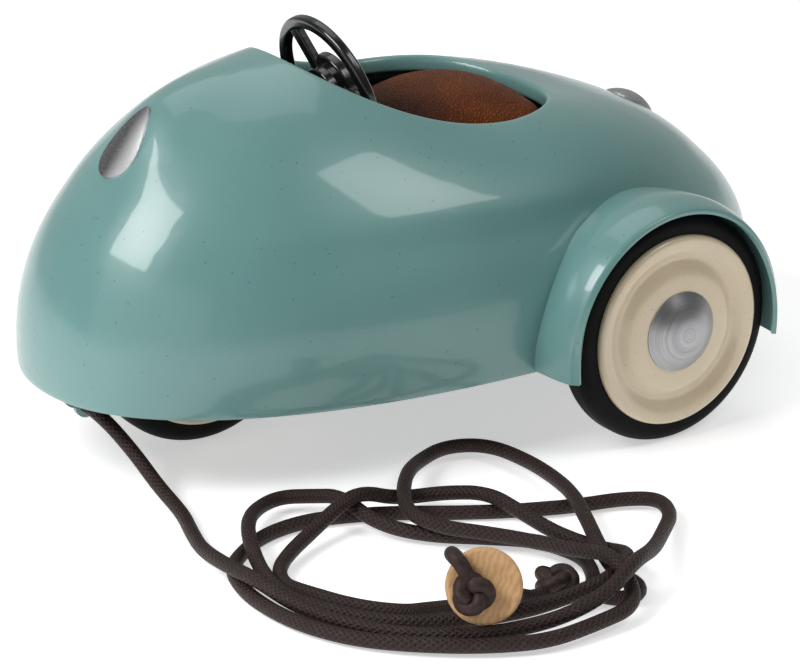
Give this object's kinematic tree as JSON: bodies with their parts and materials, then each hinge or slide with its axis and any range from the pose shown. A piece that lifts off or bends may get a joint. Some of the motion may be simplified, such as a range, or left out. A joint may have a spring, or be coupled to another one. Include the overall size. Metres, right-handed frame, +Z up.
{
  "type": "pull-along toy car",
  "caption": "Pull-along toy car: teardrop pressed body with open cockpit, turning steering wheel, padded seat, spinning wheels and a cord ending in a wooden button.",
  "frame": {"origin": "middle of the car's bounding box without its cord, on the ground", "axes": "+X forward, +Y to the car's left, +Z up"},
  "size_m": [0.1884, 0.2056, 0.0938],
  "materials": {
    "teal_paint": "gloss",
    "inner_paint": "satin",
    "tyre_rubber": "matte",
    "cream_paint": "satin",
    "silver_metal": "brushed",
    "steel": "satin",
    "bracket_steel": "satin",
    "black_plastic": "gloss",
    "bush_plastic": "matte",
    "leather": "grained satin",
    "wood": "satin",
    "cord_cotton": "waxed"
  },
  "bodies": {
    "car": {"body_shell": "teal_paint", "bracket_screws": "steel", "button_knot": "cord_cotton", "column_bracket": "bracket_steel", "column_bush": "bush_plastic", "cord_tail": "cord_cotton", "end_knot": "cord_cotton", "floor_pan": "inner_paint", "floor_screws": "steel", "front_axle": "steel", "front_axle_clips": "steel", "front_left_bracket": "bracket_steel", "front_right_bracket": "bracket_steel", "headlamp": "silver_metal", "left_fender": "teal_paint", "pull_cord": "cord_cotton", "rear_axle": "steel", "rear_axle_clips": "steel", "rear_axle_washers": "steel", "rear_cap": "silver_metal", "rear_left_bracket": "bracket_steel", "rear_right_bracket": "bracket_steel", "right_fender": "teal_paint", "seat_base": "inner_paint", "seat_cushion": "leather", "shell_tabs": "inner_paint", "tow_bracket": "teal_paint", "tow_knot": "cord_cotton", "tow_screws": "steel", "wood_button": "wood"},
    "left_wheel": {"left_hub_bush": "bush_plastic", "left_hub_cap": "silver_metal", "left_inner_disc": "cream_paint", "left_outer_disc": "cream_paint", "left_tyre": "tyre_rubber"},
    "right_wheel": {"right_hub_bush": "bush_plastic", "right_hub_cap": "silver_metal", "right_inner_disc": "cream_paint", "right_outer_disc": "cream_paint", "right_tyre": "tyre_rubber"},
    "front_wheel": {"front_hub_bush": "bush_plastic", "front_inner_disc": "cream_paint", "front_outer_disc": "cream_paint", "front_tyre": "tyre_rubber"},
    "steering": {"column_clips": "steel", "steering_column": "steel", "steering_nut": "steel", "steering_wheel": "black_plastic"}
  },
  "joints": [
    {"name": "left_wheel_spin", "type": "hinge", "parent": "car", "child": "left_wheel", "pos_m": [-0.03335, 0.0595, 0.027], "axis": [0, 1, 0], "continuous": true},
    {"name": "right_wheel_spin", "type": "hinge", "parent": "car", "child": "right_wheel", "pos_m": [-0.03335, -0.0595, 0.027], "axis": [0, 1, 0], "continuous": true},
    {"name": "front_wheel_spin", "type": "hinge", "parent": "car", "child": "front_wheel", "pos_m": [0.05345, 0, 0.027], "axis": [0, 1, 0], "continuous": true},
    {"name": "steering_turn", "type": "hinge", "parent": "car", "child": "steering", "pos_m": [0.01715, 0, 0.0766], "axis": [0.9511, 0, -0.309], "continuous": true}
  ]
}
